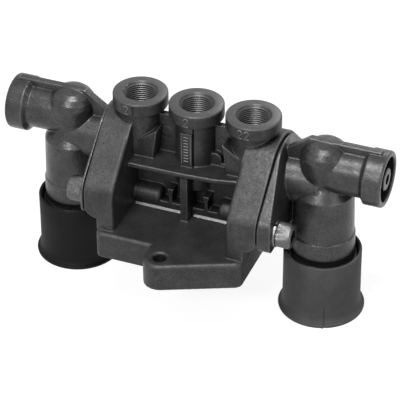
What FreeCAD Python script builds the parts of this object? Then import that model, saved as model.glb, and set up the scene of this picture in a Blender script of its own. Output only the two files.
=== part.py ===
import FreeCAD, Part
import Sketcher
import os

Vec = FreeCAD.Vector

doc = FreeCAD.newDocument("quick_release_valve")
sheet = doc.addObject("Spreadsheet::Sheet", "Sizes")

# Sizes in millimetres. The origin lies on the underside of the foot, below the middle top port.
SIZES = [
    # top ports
    ("port_pitch", 37.65),
    ("port_top", 94.0),
    ("collar_r", 17.5),
    ("collar_h", 9.0),
    ("collar_edge", 0.9),
    ("port_minor_r", 10.2),
    ("port_mouth_r", 11.4),
    ("port_mouth_depth", 1.2),
    ("port_depth", 15.0),
    ("mid_tube_r", 13.2),
    ("outer_tube_r", 13.6),
    ("outer_passage_r", 5.5),
    ("mid_passage_r", 3.0),
    # body flanges
    ("flow_z", 54.8),
    ("arm_z", 67.2),
    ("flange_in", 37.5),
    ("flange_out", 57.0),
    ("flange_top_r", 27.6),
    ("flange_top_y", 19.11),
    ("flange_top_z", 74.71),
    ("knee_y", 48.6),
    ("knee_z", 46.4),
    ("knee_round", 14.0),
    ("flange_low_z", 25.5),
    ("flange_edge", 2.0),
    ("cross_bore_r", 8.0),
    # foot
    ("foot_h", 18.0),
    ("foot_x", 48.8),
    ("foot_front", 53.0),
    ("foot_back", 52.0),
    ("foot_corner", 5.0),
    ("foot_edge", 2.5),
    ("lug_x", -0.5),
    ("lug_y", 62.0),
    ("lug_r", 10.5),
    ("lug_slant_x", 3.4),
    ("lug_slant_y", 71.8),
    ("foot_slant_y", 51.5),
    ("foot_hole_r", 4.25),
    ("foot_hole_mouth_r", 5.3),
    ("rear_hole_x", 30.0),
    ("rear_hole_y", 40.0),
    # core block, plate and ribs
    ("block_x", 37.6),
    ("block_front", 6.5),
    ("block_back", 15.0),
    ("ledge_front", 14.0),
    ("ledge_top", 24.0),
    ("fin_left_x", -12.8),
    ("fin_right_x", 11.3),
    ("fin_w", 4.2),
    ("fin_waist", 2.2),
    ("fin_top", 34.3),
    ("lump_r", 6.7),
    ("lump_y", 9.0),
    ("lump_z", 25.0),
    ("lump_end", 19.5),
    ("lump_round", 3.0),
    ("mid_tube_low", 36.2),
    ("step_x0", 5.0),
    ("step_x1", 23.0),
    ("step_y", 6.0),
    ("step_h", 2.0),
    ("mark_x", -19.5),
    ("mark_z", 69.5),
    ("mark_r", 3.4),
    ("mark_h", 0.35),
    ("plate_z", 51.5),
    ("plate_h", 3.0),
    ("plate_left_y", 23.2),
    ("plate_mid_y", 22.6),
    ("plate_side_y", 21.3),
    ("plate_right_y", 17.5),
    ("plate_side_x", 20.0),
    ("plate_back_y", 17.5),
    ("rib_w", 5.0),
    ("rib_front", 22.0),
    ("web_t", 4.0),
    ("web_top", 82.0),
    ("gusset_x", 21.7),
    ("gusset_y", 13.2),
    ("gusset_in_z", 75.4),
    ("gusset_out_z", 64.6),
    ("gusset_low_x", 25.0),
    ("pad_x0", -5.4),
    ("pad_w", 7.5),
    ("pad_front", 14.4),
    ("pad_top", 79.0),
    ("pad_groove_w", 0.9),
    ("pad_groove_deep", 1.6),
    ("boss_x", 14.2),
    ("boss_z", 58.6),
    ("boss_r", 4.5),
    ("boss_front", 6.0),
    # shuttle bore across the core block
    ("shuttle_z", 34.0),
    ("shuttle_y", 3.0),
    ("shuttle_bore_r", 5.0),
    ("shuttle_half", 5.0),
    ("shuttle_travel", 5.0),
    ("seat_bore_r", 6.0),
    ("seat_t", 6.0),
    ("seat_hole_r", 2.8),
    ("clip_t", 1.2),
    ("clip_deep", 0.7),
    ("clip_in_r", 4.9),
    ("run_gap", 0.05),
    ("nose_r", 4.2),
    ("nose_t", 1.5),
    # gasket
    ("gasket_t", 0.8),
    ("gasket_inset", 1.6),
    # screws and washers
    ("screw_y", 37.2),
    ("screw_z", 37.0),
    ("screw_head_r", 8.0),
    ("screw_head_h", 9.6),
    ("screw_r", 5.0),
    ("screw_core_r", 4.25),
    ("screw_bite", 16.0),
    ("screw_hole_r", 5.5),
    ("screw_hole_depth", 18.0),
    ("screw_key_r", 4.62),
    ("screw_key_depth", 5.0),
    ("screw_edge", 0.8),
    ("washer_t", 1.6),
    ("washer_r", 8.6),
    ("washer_hole_r", 5.1),
    # elbow housing outside
    ("elbow_reach", 26.9),
    ("elbow_flange_t", 8.6),
    ("elbow_flange_low", 27.0),
    ("ear_round", 5.0),
    ("elbow_flange_thin", 0.8),
    ("rear_ear_t", 1.6),
    ("ear_step_y", 6.0),
    ("elbow_top_drop", 2.0),
    ("taper_z", 45.0),
    ("neck_r", 15.3),
    ("under_rib_w", 16.0),
    ("under_rib_low", 21.0),
    ("head_r", 15.0),
    ("head_top", 86.5),
    ("head_side_z", 75.5),
    ("shoulder_top_z", 58.2),
    ("shoulder_top_r", 13.2),
    ("shoulder_waist_h", 7.5),
    ("rim_groove", 1.3),
    ("rim_groove_rise", 2.2),
    ("shoulder_z", 50.0),
    ("shoulder_r", 18.7),
    ("lower_r", 19.5),
    ("step_z", 20.5),
    ("step_r", 20.2),
    ("lower_end", -6.0),
    ("arm_r", 14.7),
    ("arm_len", 40.2),
    ("end_r", 17.9),
    ("end_len", 11.5),
    ("end_taper", 2.6),
    ("end_edge", 1.3),
    ("arm_rib_w", 5.0),
    ("arm_rib_z", 86.9),
    ("arm_rib_short", 4.2),
    ("neck_rib_gap", 0.8),
    ("neck_rib_z", 75.2),
    ("neck_rib_back", 9.7),
    # elbow housing inside
    ("inlet_r", 8.0),
    ("inlet_past", 2.8),
    ("drop_r", 6.0),
    ("chamber_r", 15.5),
    ("chamber_top", 38.0),
    ("inlet_lip_r", 9.0),
    ("inlet_lip_h", 3.0),
    ("mouth_r", 14.3),
    ("mouth_edge", 0.5),
    ("mouth_depth", 13.0),
    ("side_seat_r", 10.2),
    ("side_seat_depth", 9.0),
    ("link_r", 4.2),
    ("link_len", 8.3),
    ("side_drop_r", 3.4),
    # spigot in the side port
    ("spigot_end_gap", 0.5),
    ("spigot_r", 7.1),
    ("spigot_edge", 0.6),
    ("spigot_hole_r", 3.4),
    # diaphragm
    ("disc_r", 14.4),
    ("disc_z", 28.0),
    ("disc_t", 3.0),
    ("disc_travel", 3.9),
    ("disc_hub_r", 5.0),
    ("disc_hub_h", 1.2),
    ("disc_hub_slope", 0.6),
    ("stem_r", 2.5),
    ("stem_len", 14.0),
    # exhaust seat insert
    ("seat_lip_r", 11.0),
    ("seat_lip_in_r", 9.0),
    ("insert_top", 21.0),
    ("insert_low", 9.0),
    ("hub_r", 4.4),
    ("hub_top", 24.6),
    ("spoke_w", 2.4),
    ("seal_r", 1.2),
    ("seal_groove", 2.0),
    ("seal_groove_w", 3.0),
    ("seal_z", 15.0),
    ("ring_t", 1.5),
    ("ring_deep", 1.1),
    ("ring_in_r", 13.2),
    # rubber exhaust cup
    ("cup_top", 6.1),
    ("cup_r", 24.75),
    ("cup_in_r", 23.0),
    ("cup_draft", 0.25),
    ("cup_hem_r", 27.67),
    ("cup_hem_z", -34.6),
    ("cup_hem_t", 2.2),
    ("cup_hem_edge", 0.6),
    ("cup_low", -38.4),
    ("cup_gap", 0.1),
    ("cup_collar_r", 21.8),
    ("cup_collar_top", 2.0),
    ("cup_floor", -9.0),
    ("cup_hole_r", 13.0),
]


class Size:
    """A number together with the spreadsheet formula that gives it."""

    def __init__(self, text, number):
        self.text = text
        self.number = number

    def __add__(self, other):
        other = size(other)
        return Size("(%s + %s)" % (self.text, other.text), self.number + other.number)

    def __sub__(self, other):
        other = size(other)
        return Size("(%s - %s)" % (self.text, other.text), self.number - other.number)

    def __mul__(self, other):
        other = size(other)
        return Size("(%s * %s)" % (self.text, other.text), self.number * other.number)

    def __truediv__(self, other):
        other = size(other)
        return Size("(%s / %s)" % (self.text, other.text), self.number / other.number)

    def __neg__(self):
        return Size("(0 - %s)" % self.text, -self.number)


def size(value):
    """Plain numbers become sizes as well, so formulas may mix both."""
    if isinstance(value, Size):
        return value
    return Size(repr(float(value)), float(value))


class Table:
    """Gives every named row of the sheet as an attribute."""


S = Table()
for row, (alias, number) in enumerate(SIZES, start=1):
    sheet.set("A%d" % row, alias)
    sheet.set("B%d" % row, repr(number))
    sheet.setAlias("B%d" % row, alias)
    setattr(S, alias, Size("Sizes.%s" % alias, number))
doc.recompute()

ZERO = size(0)


def derive(row, alias, value):
    """Adds a row to the sheet that follows from other rows."""
    sheet.set("A%d" % row, alias)
    sheet.set("B%d" % row, "=" + value.text.replace("Sizes.", ""))
    sheet.setAlias("B%d" % row, alias)
    setattr(S, alias, Size("Sizes.%s" % alias, value.number))


# Places that several pieces share.
count = len(SIZES)
derive(count + 1, "elbow_in", S.flange_out + S.gasket_t)
derive(count + 2, "elbow_flange_out", S.elbow_in + S.elbow_flange_t)
derive(count + 3, "elbow_x", S.elbow_in + S.elbow_reach)
derive(count + 4, "end_x", S.elbow_x + S.arm_len)
derive(count + 5, "mouth_floor", S.end_x - S.mouth_depth)
derive(count + 6, "side_bottom", S.mouth_floor - S.side_seat_depth)
derive(count + 7, "link_end", S.side_bottom - S.link_len)
doc.recompute()

TURN = {
    "z": FreeCAD.Rotation(Vec(0, 0, 1), 0),
    "x": FreeCAD.Rotation(Vec(0, 1, 0), 90),
    "y": FreeCAD.Rotation(Vec(1, 0, 0), -90),
}


def bind(obj, prop, value):
    """Ties one property to a formula in the sheet."""
    obj.setExpression(prop, size(value).text)


def place(obj, spot, axis="z"):
    """Puts an object at a spot of three sizes, its own Z along the axis."""
    obj.Placement = FreeCAD.Placement(Vec(0, 0, 0), TURN[axis])
    for letter, value in zip("xyz", spot):
        bind(obj, "Placement.Base.%s" % letter, value)
    return obj


def box(name, low, high):
    """A box between two corners."""
    obj = doc.addObject("Part::Box", name)
    for prop, a, b in zip(("Length", "Width", "Height"), low, high):
        bind(obj, prop, size(b) - a)
    return place(obj, low)


def rod(name, radius, spot, length, axis="z"):
    """A cylinder that starts at a spot and runs along an axis."""
    obj = doc.addObject("Part::Cylinder", name)
    bind(obj, "Radius", radius)
    bind(obj, "Height", length)
    return place(obj, spot, axis)


def taper(name, radius_a, radius_b, spot, length, axis="z"):
    """A cone frustum that starts at a spot and runs along an axis."""
    obj = doc.addObject("Part::Cone", name)
    bind(obj, "Radius1", radius_a)
    bind(obj, "Radius2", radius_b)
    bind(obj, "Height", length)
    return place(obj, spot, axis)


def outline(body, plane, points):
    """A closed sketch on one plane of a body, each corner bound to the sheet."""
    sketch = body.newObject("Sketcher::SketchObject", body.Name + "_outline")
    for feature in body.Origin.OriginFeatures:
        if feature.Role == plane:
            sketch.AttachmentSupport = (feature, "")
    sketch.MapMode = "FlatFace"
    corners = []
    for across, up in points:
        corners.append((size(across), size(up)))
    count = len(corners)
    for i in range(count):
        here = corners[i]
        there = corners[(i + 1) % count]
        start = Vec(here[0].number, here[1].number, 0)
        end = Vec(there[0].number, there[1].number, 0)
        sketch.addGeometry(Part.LineSegment(start, end))
    for i in range(count):
        sketch.addConstraint(Sketcher.Constraint("Coincident", i, 2, (i + 1) % count, 1))
    for i in range(count):
        for kind, axis, value in (("DistanceX", -2, corners[i][0]), ("DistanceY", -1, corners[i][1])):
            if value.text == ZERO.text:
                sketch.addConstraint(Sketcher.Constraint("PointOnObject", i, 1, axis))
                continue
            index = sketch.addConstraint(Sketcher.Constraint(kind, -1, 1, i, 1, value.number))
            sketch.setExpression("Constraints[%d]" % index, value.text)
    return sketch


def turned(name, points, spot, axis="z"):
    """A body of revolution from corners given as radius and height."""
    body = doc.addObject("PartDesign::Body", name)
    sketch = outline(body, "XZ_Plane", points)
    turn = body.newObject("PartDesign::Revolution", name + "_turn")
    turn.Profile = sketch
    turn.ReferenceAxis = (sketch, ["V_Axis"])
    turn.Angle = 360
    return place(body, spot, axis)


def prism(name, plane, points, start, depth):
    """A pad of an outline on a main plane, from a start level over a depth."""
    body = doc.addObject("PartDesign::Body", name)
    sketch = outline(body, plane, points)
    pad = body.newObject("PartDesign::Pad", name + "_pad")
    pad.Profile = sketch
    bind(pad, "Length", depth)
    spot = {"XY_Plane": (0, 0, start), "YZ_Plane": (start, 0, 0), "XZ_Plane": (0, start, 0)}[plane]
    return place(body, spot)


def join(name, shapes):
    """One solid out of several."""
    obj = doc.addObject("Part::MultiFuse", name)
    obj.Shapes = shapes
    obj.Refine = True
    return obj


def cut(name, base, tools):
    """The base with every tool taken away."""
    tool = tools[0]
    if len(tools) > 1:
        tool = join(name + "_tools", tools)
    obj = doc.addObject("Part::Cut", name)
    obj.Base = base
    obj.Tool = tool
    return obj


def mirrored(name, source, normal=(1, 0, 0)):
    """The mirror image of an object across the middle plane."""
    obj = doc.addObject("Part::Mirroring", name)
    obj.Source = source
    obj.Base = Vec(0, 0, 0)
    obj.Normal = Vec(*normal)
    return obj


def rounded(name, source, radius, wanted):
    """Fillets on the edges that a rule picks."""
    doc.recompute()
    obj = doc.addObject("Part::Fillet", name)
    obj.Base = source
    edges = []
    for index, edge in enumerate(source.Shape.Edges, start=1):
        if wanted(edge):
            edges.append((index, radius.number, radius.number))
    obj.Edges = edges
    return obj


def near(value, target):
    """True where a number lies on a target."""
    return abs(value - target) < 0.01


def level_at(edge, height):
    """True for an edge that lies flat at a height."""
    box_of = edge.BoundBox
    return near(box_of.ZMin, height) and near(box_of.ZMax, height)


def flat_circle(edge):
    """True for a whole circle that lies flat."""
    return edge.Closed and edge.BoundBox.ZLength < 0.01


# Body casting: collars and tubes of the three top ports.
ports = []
holes = []
for tag, side in (("left", -1), ("mid", 0), ("right", 1)):
    x = S.port_pitch * side
    collar = rod("collar_" + tag, S.collar_r, (x, 0, S.port_top - S.collar_h), S.collar_h)
    ports.append(rounded("collar_edge_" + tag, collar, S.collar_edge, flat_circle))
    tube_r = S.outer_tube_r if side else S.mid_tube_r
    tube_low = S.plate_z if side else S.mid_tube_low
    ports.append(rod("tube_" + tag, tube_r, (x, 0, tube_low), S.port_top - S.collar_h - tube_low))
    holes.append(rod("port_bore_" + tag, S.port_minor_r, (x, 0, S.port_top - S.port_depth), S.port_depth))
    mouth_spot = (x, 0, S.port_top - S.port_mouth_depth)
    holes.append(taper("port_mouth_" + tag, S.port_minor_r, S.port_mouth_r, mouth_spot, S.port_mouth_depth))
    passage_r = S.outer_passage_r if side else S.mid_passage_r
    passage_h = S.port_top - S.port_depth - S.shuttle_z
    holes.append(rod("passage_" + tag, passage_r, (x, 0, S.shuttle_z), passage_h))

# Body casting: A-shaped flanges at both ends.
flange_points = [
    (-S.knee_y, S.flange_low_z),
    (S.knee_y, S.flange_low_z),
    (S.knee_y, S.knee_z),
    (S.flange_top_y, S.flange_top_z),
    (-S.flange_top_y, S.flange_top_z),
    (-S.knee_y, S.knee_z),
]
flange_plate = prism("flange_plate", "YZ_Plane", flange_points, S.flange_in, S.flange_out - S.flange_in)


def flange_corner(edge):
    """Long edges of the flange along X at the knees."""
    b = edge.BoundBox
    along_x = b.YLength < 0.01 and b.ZLength < 0.01
    return along_x and near(abs(b.YMin), S.knee_y.number) and near(b.ZMin, S.knee_z.number)


def flange_bay_edge(edge):
    """Outline edges of the flange on the side of the bay, front and rear."""
    b = edge.BoundBox
    flat = near(b.XMin, S.flange_in.number) and b.XLength < 0.01
    return flat and b.ZLength > 0.01 and max(abs(b.YMin), abs(b.YMax)) > S.flange_top_y.number + 1


def upright_bay_edge(edge):
    """Upright edges on the side of the bay."""
    b = edge.BoundBox
    return b.XLength < 0.01 and b.YLength < 0.01 and near(b.XMin, S.flange_in.number)


def flange_foot_corner(edge):
    """Lower edge of the flange's mating face, along Y."""
    b = edge.BoundBox
    return near(b.XMin, S.flange_out.number) and b.XLength < 0.01 and level_at(edge, S.flange_low_z.number)


flange_knees = rounded("flange_knees", flange_plate, S.knee_round, flange_corner)
flange_soft = rounded("flange_soft", flange_knees, S.flange_edge, flange_bay_edge)
flange_feet = rounded("flange_feet", flange_soft, S.flange_out - S.foot_x, flange_foot_corner)
root_low = (S.flange_in, -S.knee_y, S.foot_h - 1)
root_block = box("root_block", root_low, (S.foot_x, S.knee_y, S.flange_low_z + 1))
flange_root = rounded("flange_root", root_block, S.flange_edge, upright_bay_edge)
flange_t = S.flange_out - S.flange_in
flange_crown = rod("flange_crown", S.flange_top_r, (S.flange_in, 0, S.flow_z), flange_t, "x")
flange_right = join("flange_right", [flange_feet, flange_crown, flange_root])
flange_left = mirrored("flange_left", flange_right)

# Body casting: foot with its front lug.
foot_points = [
    (-S.foot_x, -S.foot_front),
    (S.lug_x - S.lug_r, -S.foot_front),
    (S.lug_x - S.lug_r, -S.lug_y),
    (S.lug_slant_x, -S.lug_slant_y),
    (S.foot_x, -S.foot_slant_y),
    (S.foot_x, S.foot_back),
    (-S.foot_x, S.foot_back),
]
foot_plate = prism("foot_plate", "XY_Plane", foot_points, 0, S.foot_h)
foot_lug = rod("foot_lug", S.lug_r, (S.lug_x, -S.lug_y, 0), S.foot_h)
foot_sharp = join("foot_sharp", [foot_plate, foot_lug])


def foot_corner_edge(edge):
    """Upright edges at the two ends of the foot."""
    b = edge.BoundBox
    return b.XLength < 0.01 and b.YLength < 0.01 and near(abs(b.XMin), S.foot_x.number)


foot_cornered = rounded("foot_cornered", foot_sharp, S.foot_corner, foot_corner_edge)
foot = rounded("foot", foot_cornered, S.foot_edge, lambda e: level_at(e, S.foot_h.number))

# Body casting: core block, plate, ribs and gussets.
block_low = (-S.block_x, -S.block_front, S.foot_h - 1)
block = box("core_block", block_low, (S.block_x, S.block_back, S.plate_z + 1))
ledge_low = (-S.block_x, -S.ledge_front, S.foot_h - 1)
ledge = box("ledge", ledge_low, (S.block_x, -S.block_front + 1, S.ledge_top))
fins = []
for tag, x in (("left", S.fin_left_x), ("right", S.fin_right_x)):
    fin_points = [
        (x - S.fin_w / 2, S.foot_h),
        (x + S.fin_w / 2, S.foot_h),
        (x + S.fin_waist / 2, S.fin_top * 0.75),
        (x + S.fin_waist / 2, S.fin_top * 0.87),
        (x + S.fin_w / 2, S.fin_top),
        (x - S.fin_w / 2, S.fin_top),
        (x - S.fin_waist / 2, S.fin_top * 0.87),
        (x - S.fin_waist / 2, S.fin_top * 0.75),
    ]
    fin_depth = S.ledge_front - S.block_front + 1
    fins.append(prism("fin_" + tag, "XZ_Plane", fin_points, -S.block_front + 1, fin_depth))
lump_plain = rod("lump_plain", S.lump_r, (S.lump_end, -S.lump_y, S.lump_z), S.block_x - S.lump_end, "x")
lump_right = rounded(
    "lump_right",
    lump_plain,
    S.lump_round,
    lambda e: e.Closed and near(e.BoundBox.XMin, S.lump_end.number) and e.BoundBox.XLength < 0.01,
)
lump_left = mirrored("lump_left", lump_right)
step = box("plate_step", (S.step_x0, -S.step_y, S.plate_z), (S.step_x1, 0, S.plate_z + S.plate_h + S.step_h))
mark_depth = S.web_t / 2 + S.mark_h
mark = rod("ejector_mark", S.mark_r, (S.mark_x, -mark_depth, S.mark_z), mark_depth, "y")
plate_points = [
    (-S.block_x, -S.plate_left_y),
    (0, -S.plate_mid_y),
    (S.plate_side_x, -S.plate_side_y),
    (S.block_x, -S.plate_right_y),
    (S.block_x, S.plate_back_y),
    (-S.block_x, S.plate_back_y),
]
plate = prism("plate", "XY_Plane", plate_points, S.plate_z, S.plate_h)
rib = box(
    "centre_rib",
    (S.lug_x - S.rib_w / 2, -S.rib_front, S.foot_h - 1),
    (S.lug_x + S.rib_w / 2, S.rib_front, S.plate_z + 1),
)
web = box("web", (-S.port_pitch, -S.web_t / 2, S.plate_z), (S.port_pitch, S.web_t / 2, S.web_top))
gusset_points = [
    (S.gusset_low_x, S.plate_z + 1),
    (S.block_x, S.plate_z + 1),
    (S.block_x, S.gusset_out_z),
    (S.gusset_x, S.gusset_in_z),
]
gusset_right = prism("gusset_right", "XZ_Plane", gusset_points, S.gusset_y, S.gusset_y * 2)
gusset_left = mirrored("gusset_left", gusset_right)
pad = box("label_pad", (S.pad_x0, -S.pad_front, S.plate_z + 1), (S.pad_x0 + S.pad_w, 0, S.pad_top))
boss = rod("small_boss", S.boss_r, (S.boss_x, -S.boss_front, S.boss_z), S.boss_front, "y")

ends = [flange_right, flange_left, gusset_right, gusset_left, lump_left, lump_right]
middle = [foot, block, ledge, plate, step, rib, web, mark, pad, boss]
body_solid = join("body_solid", ports + ends + middle + fins)

# Body casting: groove beside the pad, flow bores, shuttle bore, tapped holes.
groove_x = S.pad_x0 + S.pad_w
groove_low = (groove_x, -S.pad_front, S.plate_z + S.plate_h)
groove_high = (groove_x + S.pad_groove_w, -S.mid_tube_r + S.pad_groove_deep, S.port_top - S.collar_h)
holes.append(box("pad_groove", groove_low, groove_high))
for tag, sign in (("left", -1), ("right", 1)):
    start_x = S.port_pitch if sign > 0 else -S.flange_out
    reach = S.flange_out - S.port_pitch
    holes.append(rod("cross_bore_" + tag, S.cross_bore_r, (start_x, 0, S.flow_z), reach, "x"))
    deep = S.flange_out - S.shuttle_half - S.shuttle_travel
    start_x = S.shuttle_half + S.shuttle_travel if sign > 0 else -S.flange_out
    holes.append(rod("seat_bore_" + tag, S.seat_bore_r, (start_x, S.shuttle_y, S.shuttle_z), deep, "x"))
    clip_x = S.shuttle_half + S.shuttle_travel + S.seat_t
    start_x = clip_x if sign > 0 else -clip_x - S.clip_t
    groove_spot = (start_x, S.shuttle_y, S.shuttle_z)
    holes.append(rod("clip_groove_" + tag, S.seat_bore_r + S.clip_deep, groove_spot, S.clip_t, "x"))
    for place_tag, way in (("front", -1), ("rear", 1)):
        start_x = S.flange_out - S.screw_hole_depth if sign > 0 else -S.flange_out
        spot = (start_x, S.screw_y * way, S.screw_z)
        holes.append(rod("tapped_%s_%s" % (tag, place_tag), S.screw_core_r, spot, S.screw_hole_depth, "x"))
shuttle_spot = (-S.flange_in, S.shuttle_y, S.shuttle_z)
holes.append(rod("shuttle_bore", S.shuttle_bore_r, shuttle_spot, S.flange_in * 2, "x"))
for tag, x, y in (
    ("front", S.lug_x, -S.lug_y),
    ("rear_left", -S.rear_hole_x, S.rear_hole_y),
    ("rear_right", S.rear_hole_x, S.rear_hole_y),
):
    holes.append(rod("foot_hole_" + tag, S.foot_hole_r, (x, y, 0), S.foot_h))
    mouth_h = S.foot_hole_mouth_r - S.foot_hole_r
    mouth_spot = (x, y, S.foot_h - mouth_h)
    holes.append(taper("foot_mouth_" + tag, S.foot_hole_r, S.foot_hole_mouth_r, mouth_spot, mouth_h))

nodes = {}
nodes["body_casting"] = cut("body_casting", body_solid, holes)


def corner_at(height):
    """A rule for edges along X that lie outside the screws at one height."""

    def wanted(edge):
        b = edge.BoundBox
        along_x = b.YLength < 0.01 and b.ZLength < 0.01
        return along_x and abs(b.YMin) > S.screw_y.number and near(b.ZMin, height.number)

    return wanted


# Flange gasket, right side.
inset = S.gasket_inset
gasket_drop = S.elbow_top_drop + inset
gasket_points = [
    (-S.knee_y + inset, S.elbow_flange_low + inset),
    (S.knee_y - inset, S.elbow_flange_low + inset),
    (S.knee_y - inset, S.knee_z - inset),
    (S.flange_top_y - gasket_drop * 0.69, S.flange_top_z - gasket_drop * 0.72),
    (-S.flange_top_y + gasket_drop * 0.69, S.flange_top_z - gasket_drop * 0.72),
    (-S.knee_y + inset, S.knee_z - inset),
]
gasket_plate = prism("gasket_plate", "YZ_Plane", gasket_points, S.flange_out, S.gasket_t)
gasket_knees = rounded("gasket_knees", gasket_plate, S.knee_round, corner_at(S.knee_z - inset))
gasket_feet = rounded("gasket_feet", gasket_knees, S.ear_round, corner_at(S.elbow_flange_low + inset))
gasket_crown = rod("gasket_crown", S.flange_top_r - gasket_drop, (S.flange_out, 0, S.flow_z), S.gasket_t, "x")
gasket_full = join("gasket_full", [gasket_feet, gasket_crown])
gasket_holes = [rod("gasket_flow", S.cross_bore_r, (S.flange_out, 0, S.flow_z), S.gasket_t, "x")]
for tag, way in (("front", -1), ("rear", 1)):
    spot = (S.flange_out, S.screw_y * way, S.screw_z)
    gasket_holes.append(rod("gasket_hole_" + tag, S.screw_hole_r, spot, S.gasket_t, "x"))
nodes["right_flange_gasket"] = cut("right_flange_gasket", gasket_full, gasket_holes)

# Elbow housing, right side: outside.
elbow_points = [
    (-S.knee_y, S.elbow_flange_low),
    (S.knee_y, S.elbow_flange_low),
    (S.knee_y, S.knee_z),
    (S.flange_top_y - S.elbow_top_drop * 0.69, S.flange_top_z - S.elbow_top_drop * 0.72),
    (-S.flange_top_y + S.elbow_top_drop * 0.69, S.flange_top_z - S.elbow_top_drop * 0.72),
    (-S.knee_y, S.knee_z),
]
elbow_plate = prism("elbow_plate", "YZ_Plane", elbow_points, S.elbow_in, S.elbow_flange_t)
elbow_knees = rounded("elbow_knees", elbow_plate, S.knee_round, corner_at(S.knee_z))
elbow_feet = rounded("elbow_feet", elbow_knees, S.ear_round, corner_at(S.elbow_flange_low))
elbow_crown_r = S.flange_top_r - S.elbow_top_drop
elbow_crown = rod("elbow_crown", elbow_crown_r, (S.elbow_in, 0, S.flow_z), S.elbow_flange_t, "x")
elbow_flange_full = join("elbow_flange_full", [elbow_feet, elbow_crown])
wedge_points = [
    (S.elbow_flange_out, S.taper_z),
    (S.elbow_flange_out + 5, S.taper_z),
    (S.elbow_flange_out + 5, S.flow_z + S.flange_top_r + 1),
    (S.elbow_in + S.elbow_flange_thin, S.flow_z + S.flange_top_r + 1),
]
wedge = prism("flange_wedge", "XZ_Plane", wedge_points, S.knee_y + 5, S.knee_y * 2 + 10)
ear_low = (S.elbow_in + S.rear_ear_t, S.ear_step_y, S.elbow_flange_low - 1)
ear_cut = box("rear_ear_cut", ear_low, (S.elbow_flange_out + 1, S.knee_y + 1, S.flow_z + S.flange_top_r + 1))
elbow_flange = cut("elbow_flange", elbow_flange_full, [wedge, ear_cut])
neck = rod("neck", S.neck_r, (S.elbow_in, 0, S.flow_z), S.elbow_x - S.elbow_in, "x")
under_rib = box(
    "under_rib",
    (S.elbow_in + S.rear_ear_t, -S.under_rib_w / 2, S.under_rib_low),
    (S.elbow_x, S.under_rib_w / 2, S.flow_z),
)
head_round = S.head_top - S.head_side_z
column_points = [
    (0, S.head_top),
    (S.head_r * 0.33, S.head_top - head_round * 0.04),
    (S.head_r * 0.60, S.head_top - head_round * 0.17),
    (S.head_r * 0.80, S.head_top - head_round * 0.39),
    (S.head_r * 0.94, S.head_top - head_round * 0.68),
    (S.head_r, S.head_side_z),
    (S.head_r, S.shoulder_top_z + S.shoulder_waist_h),
    (S.shoulder_top_r, S.shoulder_top_z),
    (S.shoulder_r, S.shoulder_z),
    (S.lower_r, S.step_z),
    (S.step_r, S.step_z - 0.7),
    (S.step_r, S.cup_top + S.rim_groove_rise),
    (S.step_r - S.rim_groove, S.cup_top + S.rim_groove_rise - S.rim_groove),
    (S.step_r - S.rim_groove, S.cup_collar_top + S.rim_groove),
    (S.step_r, S.cup_collar_top),
    (S.step_r, S.lower_end),
    (0, S.lower_end),
]
column = turned("column", column_points, (S.elbow_x, 0, 0))
arm = rod("arm", S.arm_r, (S.elbow_x, 0, S.arm_z), S.end_x - S.elbow_x - S.end_len + 1, "x")
end_cone = taper(
    "end_cone",
    S.arm_r,
    S.end_r,
    (S.end_x - S.end_len - S.end_taper, 0, S.arm_z),
    S.end_taper,
    "x",
)
end_plain = rod("end_plain", S.end_r, (S.end_x - S.end_len, 0, S.arm_z), S.end_len, "x")
end_collar = rounded(
    "end_collar",
    end_plain,
    S.end_edge,
    lambda e: e.Closed and near(e.BoundBox.XMin, S.end_x.number) and e.BoundBox.XLength < 0.01,
)
arm_rib = box(
    "arm_rib",
    (S.elbow_x, -S.arm_rib_w / 2, S.arm_z + S.side_seat_r + 1),
    (S.end_x - S.arm_rib_short, S.arm_rib_w / 2, S.arm_rib_z),
)
neck_rib_points = [
    (S.elbow_in + S.neck_rib_gap, S.flow_z + S.inlet_r + 1),
    (S.elbow_x, S.flow_z + S.inlet_r + 1),
    (S.elbow_x, S.arm_rib_z),
    (S.elbow_x - S.neck_rib_back, S.arm_rib_z),
    (S.elbow_in + S.neck_rib_gap, S.neck_rib_z),
]
neck_rib = prism("neck_rib", "XZ_Plane", neck_rib_points, S.arm_rib_w / 2, S.arm_rib_w)
elbow_solid = join(
    "elbow_solid",
    [elbow_flange, neck, under_rib, column, arm, end_cone, end_collar, arm_rib, neck_rib],
)

# Elbow housing, right side: inside.
lip_z = S.chamber_top - S.inlet_lip_h
chamber_points = [
    (S.inlet_lip_r, S.chamber_top),
    (S.chamber_r, S.chamber_top),
    (S.chamber_r, S.lower_end - 1),
    (0, S.lower_end - 1),
    (0, lip_z),
    (S.inlet_lip_r, lip_z),
]
ring_z = S.insert_low - S.ring_t
side_drop_spot = (S.link_end + S.side_drop_r, 0, S.chamber_top)
mouth_edge_spot = (S.end_x - S.mouth_edge, 0, S.arm_z)
elbow_cuts = [
    rod("inlet_bore", S.inlet_r, (S.elbow_in, 0, S.flow_z), S.elbow_x + S.inlet_past - S.elbow_in, "x"),
    rod("drop_bore", S.drop_r, (S.elbow_x, 0, lip_z), S.flow_z - lip_z),
    turned("chamber", chamber_points, (S.elbow_x, 0, 0)),
    rod("ring_groove", S.chamber_r + S.ring_deep, (S.elbow_x, 0, ring_z), S.ring_t),
    rod("port_mouth", S.mouth_r, (S.mouth_floor, 0, S.arm_z), S.mouth_depth, "x"),
    taper("mouth_edge", S.mouth_r, S.mouth_r + S.mouth_edge, mouth_edge_spot, S.mouth_edge, "x"),
    rod("side_seat", S.side_seat_r, (S.side_bottom, 0, S.arm_z), S.side_seat_depth, "x"),
    rod("link_bore", S.link_r, (S.link_end, 0, S.arm_z), S.side_bottom - S.link_end, "x"),
    rod("side_drop", S.side_drop_r, side_drop_spot, S.arm_z - S.chamber_top),
]
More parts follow.
